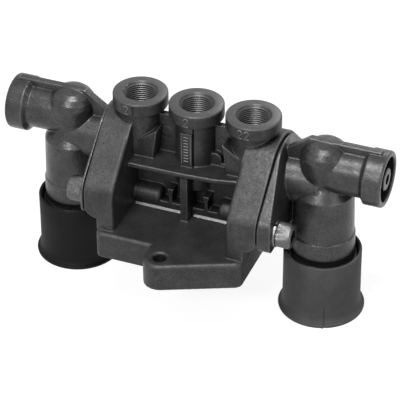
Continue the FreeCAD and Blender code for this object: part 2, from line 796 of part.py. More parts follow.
for tag, way in (("front", -1), ("rear", 1)):
    spot = (S.elbow_in, S.screw_y * way, S.screw_z)
    elbow_cuts.append(rod("elbow_hole_" + tag, S.screw_hole_r, spot, S.elbow_flange_out - S.elbow_in, "x"))
nodes["right_elbow_housing"] = cut("right_elbow_housing", elbow_solid, elbow_cuts)

# Flange screws and spring washers, right side.
ear_out = {"front": S.elbow_flange_out, "rear": S.elbow_in + S.rear_ear_t}
for tag, way in (("front", -1), ("rear", 1)):
    head_x = ear_out[tag] + S.washer_t
    spot = (head_x, S.screw_y * way, S.screw_z)
    thread_x = S.flange_out - head_x
    screw_points = [
        (0, thread_x - S.screw_bite),
        (S.screw_core_r, thread_x - S.screw_bite),
        (S.screw_core_r, thread_x),
        (S.screw_r, thread_x),
        (S.screw_r, 0),
        (S.screw_head_r, 0),
        (S.screw_head_r, S.screw_head_h - S.screw_edge),
        (S.screw_head_r - S.screw_edge, S.screw_head_h),
        (0, S.screw_head_h),
    ]
    blank = turned("screw_blank_" + tag, screw_points, spot, "x")
    key = doc.addObject("Part::Prism", "screw_key_" + tag)
    key.Polygon = 6
    bind(key, "Circumradius", S.screw_key_r)
    bind(key, "Height", S.screw_key_depth)
    place(key, (head_x + S.screw_head_h - S.screw_key_depth, S.screw_y * way, S.screw_z), "x")
    nodes["right_%s_flange_screw" % tag] = cut("right_%s_flange_screw" % tag, blank, [key])
    washer_points = [
        (S.washer_hole_r, 0),
        (S.washer_r, 0),
        (S.washer_r, S.washer_t),
        (S.washer_hole_r, S.washer_t),
    ]
    washer_spot = (ear_out[tag], S.screw_y * way, S.screw_z)
    washer_name = "right_%s_spring_washer" % tag
    nodes[washer_name] = turned(washer_name, washer_points, washer_spot, "x")

# Shuttle with its seat rings and clips.
glide_r = S.shuttle_bore_r - S.run_gap
shuttle_points = [
    (0, -S.shuttle_half),
    (S.nose_r, -S.shuttle_half),
    (S.nose_r, -S.shuttle_half + S.nose_t),
    (glide_r, -S.shuttle_half + S.nose_t),
    (glide_r, S.shuttle_half - S.nose_t),
    (S.nose_r, S.shuttle_half - S.nose_t),
    (S.nose_r, S.shuttle_half),
    (0, S.shuttle_half),
]
nodes["shuttle"] = turned("shuttle", shuttle_points, (0, S.shuttle_y, S.shuttle_z), "x")
seat_x = S.shuttle_half + S.shuttle_travel
seat_points = [
    (S.seat_hole_r, 0),
    (S.seat_bore_r, 0),
    (S.seat_bore_r, S.seat_t),
    (S.seat_hole_r + 1, S.seat_t),
]
seat_spot = (seat_x, S.shuttle_y, S.shuttle_z)
nodes["right_shuttle_seat"] = turned("right_shuttle_seat", seat_points, seat_spot, "x")
clip_points = [
    (S.clip_in_r, 0),
    (S.seat_bore_r + S.clip_deep, 0),
    (S.seat_bore_r + S.clip_deep, S.clip_t),
    (S.clip_in_r, S.clip_t),
]
clip_full = turned("clip_full", clip_points, (seat_x + S.seat_t, S.shuttle_y, S.shuttle_z), "x")
clip_gap = box(
    "clip_gap",
    (seat_x + S.seat_t, S.shuttle_y - S.clip_in_r / 3, S.shuttle_z),
    (seat_x + S.seat_t + S.clip_t, S.shuttle_y + S.clip_in_r / 3, S.shuttle_z + S.seat_bore_r + S.clip_deep),
)
nodes["right_seat_clip"] = cut("right_seat_clip", clip_full, [clip_gap])

# Spigot in the side port: its foot is pressed into the seat and its end lies just inside the mouth.
foot_end = S.side_seat_depth
spigot_end = S.side_seat_depth + S.mouth_depth - S.spigot_end_gap
spigot_points = [
    (S.spigot_hole_r, 0),
    (S.side_seat_r, 0),
    (S.side_seat_r, foot_end),
    (S.spigot_r, foot_end),
    (S.spigot_r, spigot_end - S.spigot_edge),
    (S.spigot_r - S.spigot_edge, spigot_end),
    (S.spigot_hole_r, spigot_end),
]
nodes["right_port_spigot"] = turned("right_port_spigot", spigot_points, (S.side_bottom, 0, S.arm_z), "x")

# Diaphragm, right side, lying on the exhaust seat.
disc_top = S.disc_z + S.disc_t
disc_points = [
    (0, S.disc_z - S.stem_len),
    (S.stem_r, S.disc_z - S.stem_len),
    (S.stem_r, S.disc_z),
    (S.disc_r, S.disc_z),
    (S.disc_r, S.disc_z + S.disc_t * 0.6),
    (S.disc_hub_r + S.disc_hub_slope, disc_top),
    (S.disc_hub_r, disc_top + S.disc_hub_h),
    (0, disc_top + S.disc_hub_h),
]
nodes["right_diaphragm"] = turned("right_diaphragm", disc_points, (S.elbow_x, 0, 0))

# Exhaust seat insert with its seal and retaining ring, right side.
groove_low = S.seal_z - S.seal_groove_w / 2
groove_high = S.seal_z + S.seal_groove_w / 2
insert_points = [
    (S.seat_lip_in_r, S.insert_low),
    (S.chamber_r, S.insert_low),
    (S.chamber_r, groove_low),
    (S.chamber_r - S.seal_groove, groove_low),
    (S.chamber_r - S.seal_groove, groove_high),
    (S.chamber_r, groove_high),
    (S.chamber_r, S.insert_top),
    (S.seat_lip_r, S.insert_top),
    (S.seat_lip_r - 0.6, S.disc_z),
    (S.seat_lip_in_r, S.disc_z),
]
insert_ring = turned("insert_ring", insert_points, (S.elbow_x, 0, 0))
hub = rod("insert_hub", S.hub_r, (S.elbow_x, 0, S.insert_low), S.hub_top - S.insert_low)
spoke_x = box(
    "spoke_x",
    (S.elbow_x - S.seat_lip_in_r - 1, -S.spoke_w / 2, S.insert_low),
    (S.elbow_x + S.seat_lip_in_r + 1, S.spoke_w / 2, S.insert_top),
)
spoke_y = box(
    "spoke_y",
    (S.elbow_x - S.spoke_w / 2, -S.seat_lip_in_r - 1, S.insert_low),
    (S.elbow_x + S.spoke_w / 2, S.seat_lip_in_r + 1, S.insert_top),
)
insert_solid = join("insert_solid", [insert_ring, hub, spoke_x, spoke_y])
stem_bore = rod("stem_bore", S.stem_r + S.run_gap, (S.elbow_x, 0, S.insert_low), S.hub_top - S.insert_low)
nodes["right_exhaust_insert"] = cut("right_exhaust_insert", insert_solid, [stem_bore])
seal_in = S.chamber_r - S.seal_groove
seal_points = [
    (seal_in, S.seal_z - S.seal_r * 0.55),
    (seal_in + S.seal_r * 0.45, S.seal_z - S.seal_r),
    (S.chamber_r - S.seal_r * 0.45, S.seal_z - S.seal_r),
    (S.chamber_r, S.seal_z - S.seal_r * 0.55),
    (S.chamber_r, S.seal_z + S.seal_r * 0.55),
    (S.chamber_r - S.seal_r * 0.45, S.seal_z + S.seal_r),
    (seal_in + S.seal_r * 0.45, S.seal_z + S.seal_r),
    (seal_in, S.seal_z + S.seal_r * 0.55),
]
nodes["right_insert_seal"] = turned("right_insert_seal", seal_points, (S.elbow_x, 0, 0))
ring_points = [
    (S.ring_in_r, ring_z),
    (S.chamber_r + S.ring_deep, ring_z),
    (S.chamber_r + S.ring_deep, S.insert_low),
    (S.ring_in_r, S.insert_low),
]
ring_full = turned("ring_full", ring_points, (S.elbow_x, 0, 0))
ring_gap = box(
    "ring_gap",
    (S.elbow_x - S.ring_in_r / 4, -S.chamber_r - S.ring_deep, ring_z),
    (S.elbow_x + S.ring_in_r / 4, 0, S.insert_low),
)
nodes["right_retaining_ring"] = cut("right_retaining_ring", ring_full, [ring_gap])

# Rubber exhaust cup pushed over the lower end, right side.
cup_points = [
    (S.step_r + S.cup_gap, S.lower_end),
    (S.step_r + S.cup_gap, S.cup_collar_top),
    (S.cup_collar_r, S.cup_collar_top),
    (S.cup_collar_r, S.lower_end + 1),
    (S.cup_in_r, S.lower_end + 1),
    (S.cup_in_r, S.cup_top),
    (S.cup_r, S.cup_top),
    (S.cup_r + S.cup_draft, S.cup_hem_z),
    (S.cup_hem_r - S.cup_hem_edge, S.cup_low + S.cup_hem_t),
    (S.cup_hem_r, S.cup_low + S.cup_hem_t - S.cup_hem_edge),
    (S.cup_hem_r, S.cup_low + S.cup_hem_edge),
    (S.cup_hem_r - S.cup_hem_edge, S.cup_low),
    (S.cup_in_r + S.cup_hem_edge, S.cup_low),
    (S.cup_in_r, S.cup_low + S.cup_hem_t),
    (S.cup_in_r, S.cup_floor),
    (S.cup_hole_r, S.cup_floor),
    (S.cup_hole_r, S.lower_end),
]
nodes["right_exhaust_cup"] = turned("right_exhaust_cup", cup_points, (S.elbow_x, 0, 0))

# Left side: the elbow assembly is the same one turned half round, the rest is a mirror image.
SWAPPED = {"front": "rear", "rear": "front"}
IN_BODY = ("shuttle_seat", "seat_clip", "flange_gasket")
for name in list(nodes):
    if not name.startswith("right_"):
        continue
    words = name.split("_")[1:]
    if "_".join(words) in IN_BODY:
        other = "left_" + "_".join(words)
        nodes[other] = mirrored(other, nodes[name])
        continue
    words[0] = SWAPPED.get(words[0], words[0])
    other = "left_" + "_".join(words)
    flipped = mirrored(other + "_flip", nodes[name])
    nodes[other] = mirrored(other, flipped, (0, 1, 0))

doc.recompute()

for obj in doc.Objects:
    if "Invalid" in obj.State or "Error" in obj.State:
        raise RuntimeError("object in error: %s" % obj.Name)
for name, obj in nodes.items():
    if obj.Shape.isNull() or not obj.Shape.isValid():
        raise RuntimeError("bad shape: %s" % name)

os.makedirs("parts", exist_ok=True)
for name, obj in nodes.items():
    obj.Shape.exportStep("parts/%s.step" % name)
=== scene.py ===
import math

import bmesh
import bpy
from mathutils import Matrix, Vector


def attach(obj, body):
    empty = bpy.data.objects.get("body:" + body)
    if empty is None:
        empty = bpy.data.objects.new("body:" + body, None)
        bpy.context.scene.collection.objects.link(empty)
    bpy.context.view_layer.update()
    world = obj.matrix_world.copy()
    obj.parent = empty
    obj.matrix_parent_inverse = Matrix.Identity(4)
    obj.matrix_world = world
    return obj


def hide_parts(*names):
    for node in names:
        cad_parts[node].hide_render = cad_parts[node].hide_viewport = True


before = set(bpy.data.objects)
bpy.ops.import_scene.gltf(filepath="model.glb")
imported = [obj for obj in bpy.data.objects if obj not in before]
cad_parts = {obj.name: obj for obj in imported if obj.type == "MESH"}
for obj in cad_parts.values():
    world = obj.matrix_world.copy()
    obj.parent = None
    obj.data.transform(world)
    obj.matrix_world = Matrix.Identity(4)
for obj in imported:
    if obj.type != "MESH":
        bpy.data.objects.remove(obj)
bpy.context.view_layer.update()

MM = 0.001

# Sizes in millimetres that the visible pieces share with the solids.
PORT_PITCH = 37.65
PORT_TOP = 94.0
COLLAR_R = 17.5
THREAD_R = 10.2
THREAD_PITCH = 1.5
THREAD_DEPTH = 14.6
THREAD_CREST = 0.55
THREAD_ROOT = 0.3
MOUTH_DEPTH = 1.2
ELBOW_X = 84.7
CUP_R = 25.0
SCREW_Y = 37.2
SCREW_Z = 37.0
THICK_EAR_X = 66.4
THIN_EAR_X = 59.4
WASHER_T = 1.6
HEAD_R = 8.0
HEAD_H = 9.6
KEY_R = 4.62
KEY_DEPTH = 5.0
SHANK_R = 5.0
SHANK_CORE_R = 4.25
THREAD_END = 57.0
SCREW_BITE = 16.0
NUMBER_Z = 89.2
NUMBER_PITCH = 4.4
NUMBER_TURN = -2.0
LEDGE_X = 36.8
LEDGE_Y = -14.0
FOOT_TOP = 18.0
PAD_Y = -14.4
FLOOR_Z = -38.45
FLOOR_SIZE = 1500.0

# Materials


def linear(hex_colour):
    """An sRGB hex colour as linear red, green, blue and alpha."""
    values = []
    for i in (0, 2, 4):
        c = int(hex_colour[i:i + 2], 16) / 255
        values.append(c / 12.92 if c <= 0.04045 else ((c + 0.055) / 1.055) ** 2.4)
    return (*values, 1.0)


def node(tree, kind, settings=(), links=()):
    """Adds a node, sets its properties or inputs, and links outputs of other nodes into its inputs."""
    made = tree.nodes.new(kind)
    for key, value in dict(settings).items():
        if isinstance(key, str) and hasattr(made, key) and key not in made.inputs:
            setattr(made, key, value)
        else:
            made.inputs[key].default_value = value
    for key, output in dict(links).items():
        tree.links.new(output, made.inputs[key])
    return made


def start_material(name):
    """A new node material with a principled shader on its output, and its coordinates in millimetres."""
    material = bpy.data.materials.new(name)
    material.use_nodes = True
    tree = material.node_tree
    tree.nodes.clear()
    shader = node(tree, "ShaderNodeBsdfPrincipled")
    node(tree, "ShaderNodeOutputMaterial", links={"Surface": shader.outputs["BSDF"]})
    place = node(tree, "ShaderNodeTexCoord")
    to_mm = {"operation": "SCALE", "Scale": 1 / MM}
    scaled = node(tree, "ShaderNodeVectorMath", to_mm, {0: place.outputs["Object"]})
    return material, tree, shader, scaled.outputs[0]


def noise(tree, place, size, detail, roughness=0.5):
    """Noise with features of about a size in millimetres."""
    settings = {"Scale": 1 / size, "Detail": detail, "Roughness": roughness}
    return node(tree, "ShaderNodeTexNoise", settings, {"Vector": place}).outputs["Fac"]


def spread(tree, value, low, high, start=0.0, end=1.0):
    """Carries a value from low..high to start..end."""
    settings = {"From Min": low, "From Max": high, "To Min": start, "To Max": end}
    return node(tree, "ShaderNodeMapRange", settings, {"Value": value}).outputs[0]


def bump(tree, value, strength, depth, below=None):
    """Relief of a depth in millimetres, on top of another relief if one is given."""
    links = {"Height": value}
    if below is not None:
        links["Normal"] = below
    return node(tree, "ShaderNodeBump", {"Strength": strength, "Distance": depth * MM}, links).outputs[0]


def link_skin(tree, shader, colour, relief, rough=None):
    """Links a colour, a relief and perhaps a roughness into the shader."""
    tree.links.new(colour, shader.inputs["Base Color"])
    tree.links.new(relief, shader.inputs["Normal"])
    if rough is not None:
        tree.links.new(rough, shader.inputs["Roughness"])


def mix_colours(tree, factor, colour_a, colour_b):
    """Blends two colours by a factor."""
    blend = node(tree, "ShaderNodeMix", {"data_type": "RGBA"}, {0: factor})
    for socket, colour in ((6, colour_a), (7, colour_b)):
        if isinstance(colour, str):
            blend.inputs[socket].default_value = linear(colour)
        else:
            tree.links.new(colour, blend.inputs[socket])
    return blend.outputs[2]


def blasted_die_cast(name, pale, mid, dark, roughness=0.46):
    """Die-cast aluminium, shot-blasted: a dull grey skin with fine grit and faint flow clouds, painted
    highlights on its edges and painted shade in its corners and creases."""
    material, tree, shader, place = start_material(name)
    # Flow clouds about 14 mm across and mottling about 2.5 mm across.
    clouds = noise(tree, place, 14, 3.0, 0.55)
    mottle = noise(tree, place, 2.5, 4.0, 0.6)
    skin = mix_colours(tree, spread(tree, clouds, 0.35, 0.65), mid, pale)
    skin = mix_colours(tree, spread(tree, mottle, 0.35, 0.65, 0.0, 0.75), skin, mid)
    # Grains of about 0.9 mm, light and dark, as the blasted skin catches light.
    grains = noise(tree, place, 0.9, 2.0, 0.7)
    for low, high, tone in ((0.56, 0.7, pale), (0.44, 0.32, dark)):
        skin = mix_colours(tree, spread(tree, grains, low, high, 0.0, 0.75), skin, tone)
    # Edges are painted paler as painted highlights, and creases darker as painted shade, as the mesh's
    # pointiness tells them apart.
    edge = node(tree, "ShaderNodeNewGeometry").outputs["Pointiness"]
    skin = mix_colours(tree, spread(tree, edge, 0.505, 0.6, 0.0, 0.8), skin, "7c7c7c")
    skin = mix_colours(tree, spread(tree, edge, 0.494, 0.43, 0.0, 0.75), skin, dark)
    # Painted shade: the skin darkens where walls stand within 12 mm of each other.
    painted_shade_occlusion = node(tree, "ShaderNodeAmbientOcclusion", {"samples": 8, "Distance": 12 * MM})
    skin = mix_colours(tree, spread(tree, painted_shade_occlusion.outputs["AO"], 0.2, 0.6, 0.5, 0.0), skin, dark)
    # Blasting grit of about 0.5 mm, drawn a little coarser than the real 0.2 mm so that it shows.
    grit = noise(tree, place, 0.55, 3.0, 0.7)
    relief = bump(tree, mottle, 0.35, 0.4, bump(tree, grit, 0.55, 0.12))
    rough = spread(tree, mottle, 0.3, 0.7, roughness - 0.07, roughness + 0.09)
    link_skin(tree, shader, skin, relief, rough)
    shader.inputs["Metallic"].default_value = 0.6
    return material


def turned_metal(name, pale, dark, roughness, pitch, metallic=1.0):
    """Turned metal: fine feed marks round the axis, with speckles that vary its colour and dullness."""
    material, tree, shader, place = start_material(name)
    speckle = noise(tree, place, 1.2, 4.0)
    feed = noise(tree, place, pitch, 2.0)
    colour = mix_colours(tree, speckle, dark, pale)
    rough = spread(tree, speckle, 0.0, 1.0, roughness - 0.08, roughness + 0.1)
    link_skin(tree, shader, colour, bump(tree, feed, 0.3, 0.06), rough)
    shader.inputs["Metallic"].default_value = metallic
    return material


def moulded_rubber(name, pale, dark, roughness=0.62):
    """Moulded rubber: matt, with a dusty bloom in clouds and a fine pebbled skin."""
    material, tree, shader, place = start_material(name)
    bloom = noise(tree, place, 9, 5.0, 0.6)
    pebble = noise(tree, place, 0.7, 2.0)
    colour = mix_colours(tree, spread(tree, bloom, 0.35, 0.7), dark, pale)
    rough = spread(tree, bloom, 0.0, 1.0, roughness - 0.08, roughness + 0.1)
    link_skin(tree, shader, colour, bump(tree, pebble, 0.3, 0.1), rough)
    shader.inputs["Specular IOR Level"].default_value = 0.2
    return material


def moulded_plastic(name, pale, dark, roughness):
    """Injection-moulded plastic: even colour with a faint satin grain of about 0.4 mm."""
    material, tree, shader, place = start_material(name)
    colour = mix_colours(tree, noise(tree, place, 6, 3.0), dark, pale)
    grain = noise(tree, place, 0.4, 2.0)
    link_skin(tree, shader, colour, bump(tree, grain, 0.2, 0.08))
    shader.inputs["Roughness"].default_value = roughness
    return material


# A dark, dull, mottled casting skin, with painted shade in its corners and creases and painted highlights
# on its edges.
BODY_CAST = blasted_die_cast("die-cast aluminium, blasted, body", "4a4a4a", "343434", "050505")
# The same skin, a little cleaner, with clearer highlights on the round forms.
ELBOW_CAST = blasted_die_cast(
    "die-cast aluminium, blasted, elbows", "505050", "3a3a3a", "040404", roughness=0.32
)
# A painted highlight: the pale line along the foot of the ledge, where its fillet catches the light.
LEDGE_HIGHLIGHT_CAST = blasted_die_cast(
    "die-cast aluminium, painted highlight", "6a6a6a", "585858", "282828", roughness=0.36
)
# Dull turned rings on the ports, and thread flanks that shine a little.
PORT_FACE = turned_metal("turned aluminium, dulled", "626262", "3c3c3c", 0.4, 0.3, metallic=0.7)
# The brightest metal of the valve: screw heads and the split washers below them.
ZINC_STEEL = turned_metal("zinc-plated steel", "7c7c7c", "3c3c3c", 0.32, 0.25)
WASHER_STEEL = turned_metal("zinc-plated spring steel", "9c9c9c", "5a5a5a", 0.34, 0.25)
# Darker turned steel deep in the side ports, and dark springy rings.
SPIGOT_STEEL = turned_metal("turned steel", "5c5c5c", "3a3a3a", 0.34, 0.2)
SPRING_STEEL = turned_metal("phosphated spring steel", "55565a", "34353a", 0.45, 0.3)
# Yellow metal of the shuttle's seats.
BRASS = turned_metal("turned brass", "c9a35a", "8f7038", 0.32, 0.2)
# Nearly black, matt rubber, and the dusty grey rubber of the right cup.
BLACK_RUBBER = moulded_rubber("black nitrile rubber, moulded", "060606", "030303")
GREY_RUBBER = moulded_rubber("grey rubber, moulded, dusty", "545454", "484848")
# The dark line between each flange and its elbow.
GASKET_SHEET = moulded_rubber("rubber-bonded fibre sheet", "242424", "141414", roughness=0.75)
# Satin black and milky white plastics of the inner pieces.
NYLON = moulded_plastic("glass-filled nylon, black", "333333", "222222", 0.5)
ACETAL = moulded_plastic("acetal, natural", "d8d6ce", "c6c3ba", 0.4)

# Mesh helpers


def new_piece(name, mesh, material, body, smooth_angle=38):
    """Makes an object from a bmesh in millimetres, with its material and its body."""
    data = bpy.data.meshes.new(name)
    bmesh.ops.scale(mesh, vec=(MM, MM, MM), verts=mesh.verts)
    bmesh.ops.recalc_face_normals(mesh, faces=mesh.faces)
    mesh.to_mesh(data)
    mesh.free()
    piece = bpy.data.objects.new(name, data)
    bpy.context.collection.objects.link(piece)
    finish_piece(piece, material, smooth_angle)
    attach(piece, body)
    return piece


def finish_piece(piece, material, smooth_angle=38):
    """Gives a piece its material and shades it smooth up to an angle."""
    piece.data.materials.clear()
    piece.data.materials.append(material)
    for polygon in piece.data.polygons:
        polygon.use_smooth = True
    bpy.context.view_layer.objects.active = piece
    for other in bpy.context.selected_objects:
        other.select_set(False)
    piece.select_set(True)
    bpy.ops.object.shade_smooth_by_angle(angle=math.radians(smooth_angle))
    piece.select_set(False)


def turn_to(axis):
    """Rotation that carries +Z to a given axis."""
    return Vector((0, 0, 1)).rotation_difference(Vector(axis)).to_matrix().to_4x4()


def ring(mesh, move, radii, height):
    """A closed ring of vertices, each with its own radius."""
    made = []
    for i, radius in enumerate(radii):
        angle = 2 * math.pi * i / len(radii)
        spot = Vector((radius * math.cos(angle), radius * math.sin(angle), height))
        made.append(mesh.verts.new(move @ spot))
    return made


def bridge(mesh, low, high):
    """A band of faces between two closed rings."""
    for i in range(len(low)):
        j = (i + 1) % len(low)
        mesh.faces.new((low[i], low[j], high[j], high[i]))


def lathe(mesh, profile, spot, axis=(0, 0, 1), steps=96):
    """Turns a closed profile of radius and height pairs round an axis through a spot."""
    move = Matrix.Translation(spot) @ turn_to(axis)
    rings = [ring(mesh, move, [radius] * steps, height) for radius, height in profile]
    for low, high in zip(rings, rings[1:] + rings[:1]):
        bridge(mesh, low, high)


# The castings: the solids themselves, with every edge and corner rounded as a die leaves them.


def soften_casting(piece, material, voxel, rounds):
    """Rebuilds a casting in an even mesh and relaxes it, which rounds edges and fills corners alike."""
    remesh = piece.modifiers.new("even skin", "REMESH")
    remesh.mode = "VOXEL"
    remesh.voxel_size = voxel * MM
    remesh.use_smooth_shade = True
    relax = piece.modifiers.new("die radii", "SMOOTH")
    relax.factor = 0.5
    relax.iterations = rounds
    piece.data.materials.clear()
    piece.data.materials.append(material)


VOXEL = 0.42
ROUNDS = 5
soften_casting(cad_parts["body_casting"], BODY_CAST, VOXEL, ROUNDS)
for side in ("left", "right"):
    soften_casting(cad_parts[side + "_elbow_housing"], ELBOW_CAST, VOXEL, ROUNDS)

# Threaded ports: a turned face, a chamfer and the thread itself.


def threaded_port(name, x):
    """A turned face ring that runs into a chamfer and the grooves of the thread."""
    mesh = bmesh.new()
    face_r = COLLAR_R - 0.9
    profile = [
        (face_r, -0.5),
        (face_r, -0.05),
        (face_r - 0.15, 0.03),
        (THREAD_R + 1.35, 0.03),
        (THREAD_R + 1.2, -0.1),
        (THREAD_R + 0.1, -MOUTH_DEPTH),
    ]
    height = -MOUTH_DEPTH
    while height > -THREAD_DEPTH:
        profile.append((THREAD_R - THREAD_CREST, height - THREAD_PITCH * 0.42))
        profile.append((THREAD_R - THREAD_CREST, height - THREAD_PITCH * 0.54))
        profile.append((THREAD_R + THREAD_ROOT, height - THREAD_PITCH * 0.96))
        height -= THREAD_PITCH
    profile.append((THREAD_R + 0.4, height))
    profile.append((THREAD_R + 0.9, height))
    profile.append((THREAD_R + 0.9, -2.0))
    profile.append((THREAD_R + 2.0, -0.5))
    lathe(mesh, profile, (x, 0, PORT_TOP))
    return new_piece(name, mesh, PORT_FACE, "valve", smooth_angle=30)


for tag, x in (("left", -PORT_PITCH), ("middle", 0.0), ("right", PORT_PITCH)):
    threaded_port(tag + "_port_thread", x)

# Pale fillets along the foot of the ledge, one on each side of the rib, their paleness a painted
# highlight: places across Y and up Z.
FILLET = [(-1.1, -0.4), (-1.1, 0.02), (-0.75, 0.3), (-0.3, 0.8), (0.02, 1.4), (0.4, 1.4), (0.4, -0.4)]
for side, start, end in (("left", -LEDGE_X, -5.6), ("right", 3.4, LEDGE_X)):
    strip = bmesh.new()
    ends = []
    for x in (start, end):
        ends.append([strip.verts.new((x, LEDGE_Y + y, FOOT_TOP + z)) for y, z in FILLET])
    bridge(strip, *ends)
    strip.faces.new(ends[0])
    strip.faces.new(ends[1])
    new_piece(side + "_ledge_fillet", strip, LEDGE_HIGHLIGHT_CAST, "valve", smooth_angle=50)

# Raised marks of the casting: plain port numbers, and a framed pad with a row of bars.
STROKES = {
    "1": [(-0.9, 1.9), (0.3, 2.8), (0.3, -2.8)],
    "2": [
        (-1.4, 1.6),
        (-0.9, 2.5),
        (0.2, 2.8),
        (1.2, 2.2),
        (1.3, 1.1),
        (0.4, -0.4),
        (-1.5, -2.8),
        (1.5, -2.8),
    ],
}


def raised_stroke(mesh, points, place, width, height):
    """A bead along a line, its cross-section a low rounded bar, put in place by a function."""
    sides = ((-0.5, -0.4), (-0.42, 0.7), (-0.2, 1.0), (0.2, 1.0), (0.42, 0.7), (0.5, -0.4))
    rings = []
    for k, (across, up) in enumerate(points):
        before = points[max(k - 1, 0)]
        after = points[min(k + 1, len(points) - 1)]
        run = Vector((after[0] - before[0], after[1] - before[1])).normalized()
        section = []
        for offset, lift in sides:
            x = across - run.y * offset * width
            z = up + run.x * offset * width
            section.append(mesh.verts.new(place(x, z, lift * height)))
        rings.append(section)
    for low, high in zip(rings, rings[1:]):
        bridge(mesh, low, high)
    mesh.faces.new(rings[0])
    mesh.faces.new(rings[-1])


def port_number(name, text, x):
    """A raised number on the front of a collar."""
    mesh = bmesh.new()
    for k, letter in enumerate(text):
        shift = (k - (len(text) - 1) / 2) * NUMBER_PITCH

        def place(across, up, lift, shift=shift):
            turn = math.radians(-90 + NUMBER_TURN) + (across + shift) / COLLAR_R
            radius = COLLAR_R - 0.15 + lift
            return (x + radius * math.cos(turn), radius * math.sin(turn), NUMBER_Z + up)

        raised_stroke(mesh, STROKES[letter], place, 0.95, 0.45)
    return new_piece(name, mesh, BODY_CAST, "valve", smooth_angle=50)


for tag, x, text in (("left", -PORT_PITCH, "21"), ("middle", 0.0, "2"), ("right", PORT_PITCH, "22")):
    port_number(tag + "_port_number", text, x)


def on_pad(across, up, lift):
    """A spot on the front of the label pad."""
    return (across, PAD_Y + 0.1 - lift, up)


# The pad's frame is open at the bottom; nine bars stand in it, 2.2 mm apart.
pad_marks = bmesh.new()
frame_line = [(-4.7, 56.5), (-4.7, 78.2), (1.4, 78.2), (1.4, 56.5)]
raised_stroke(pad_marks, frame_line, on_pad, 0.8, 0.4)
for k in range(9):
    z = 58.6 + k * 2.2
    raised_stroke(pad_marks, [(-3.2, z), (-0.1, z)], on_pad, 0.75, 0.4)
new_piece("pad_marks", pad_marks, BODY_CAST, "valve", smooth_angle=50)

# Screws with knurled heads and spring washers.


def cap_screw(name, spot, way, bite, node_name):
    """A socket head cap screw: knurled head, hexagon socket, plain neck and threaded end."""
    mesh = bmesh.new()
    move = Matrix.Translation(spot) @ turn_to((way, 0, 0))
    steps = 144
    # Every other column of the head stands 0.16 mm lower, which makes the knurl.
    head = [
        (HEAD_R - 0.5, 0.0, 0.0),
        (HEAD_R, 0.5, 0.16),
        (HEAD_R, HEAD_H - 1.6, 0.16),
        (HEAD_R - 0.12, HEAD_H - 0.9, 0.0),
        (HEAD_R - 0.55, HEAD_H - 0.35, 0.0),
        (HEAD_R - 1.3, HEAD_H, 0.0),
    ]
    rings = []
    for radius, height, knurl in head:
        radii = [radius - knurl if i % 2 == 0 else radius for i in range(steps)]
        rings.append(ring(mesh, move, radii, height))
    for low, high in zip(rings, rings[1:]):
        bridge(mesh, low, high)
    hexagon = []
    for i in range(steps):
        angle = 2 * math.pi * i / steps
        hexagon.append(KEY_R * math.cos(math.pi / 6) / math.cos((angle % (math.pi / 3)) - math.pi / 6))
    socket_top = ring(mesh, move, hexagon, HEAD_H - 0.1)
    socket_low = ring(mesh, move, hexagon, HEAD_H - KEY_DEPTH)
    bridge(mesh, rings[-1], socket_top)
    bridge(mesh, socket_top, socket_low)
    mesh.faces.new(socket_low)
    # Neck and threaded end, down to the core of the thread.
    shank = [
        (SHANK_R, 0.0),
        (SHANK_R, bite + 0.4),
        (SHANK_CORE_R, bite),
        (SHANK_CORE_R, bite - SCREW_BITE + 0.6),
        (SHANK_CORE_R - 0.45, bite - SCREW_BITE),
    ]
    under = [rings[0]] + [ring(mesh, move, [radius] * steps, height) for radius, height in shank]
    for low, high in zip(under, under[1:]):
        bridge(mesh, low, high)
    mesh.faces.new(under[-1])
    piece = new_piece(name, mesh, ZINC_STEEL, "valve", smooth_angle=28)
    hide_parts(node_name)
    return piece


def spring_washer(name, spot, way, node_name):
    """A split ring of square section, its two ends a little apart."""
    mesh = bmesh.new()
    move = Matrix.Translation(spot) @ turn_to((way, 0, 0))
    steps = 72
    gap = math.radians(9)
    profile = [
        (5.15, 0.15),
        (5.3, 0.02),
        (8.4, 0.02),
        (8.6, 0.2),
        (8.6, WASHER_T - 0.2),
        (8.4, WASHER_T - 0.02),
        (5.3, WASHER_T - 0.02),
        (5.15, WASHER_T - 0.15),
    ]
    rings = []
    for i in range(steps + 1):
        angle = math.radians(200) + gap / 2 + (2 * math.pi - gap) * i / steps
        section = []
        for radius, height in profile:
            corner = Vector((radius * math.cos(angle), radius * math.sin(angle), height))
            section.append(mesh.verts.new(move @ corner))
        rings.append(section)
    for low, high in zip(rings, rings[1:]):
        bridge(mesh, low, high)
    mesh.faces.new(rings[0])
    mesh.faces.new(rings[-1])
    piece = new_piece(name, mesh, WASHER_STEEL, "valve", smooth_angle=35)
    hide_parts(node_name)
    return piece


# The same elbow sits half round on the left, so thick and thin ears change places.
for side, way in (("left", -1), ("right", 1)):
    for end, y in (("front", -SCREW_Y), ("rear", SCREW_Y)):
        tag = "%s_%s" % (side, end)
        ear_x = THICK_EAR_X if way * y < 0 else THIN_EAR_X
        washer_spot = (way * ear_x, y, SCREW_Z)
        head_spot = (way * (ear_x + WASHER_T), y, SCREW_Z)
        bite = THREAD_END - ear_x - WASHER_T
        spring_washer(tag + "_split_washer", washer_spot, way, tag + "_spring_washer")
        cap_screw(tag + "_cap_screw", head_spot, way, bite, tag + "_flange_screw")

# Rubber exhaust cups.


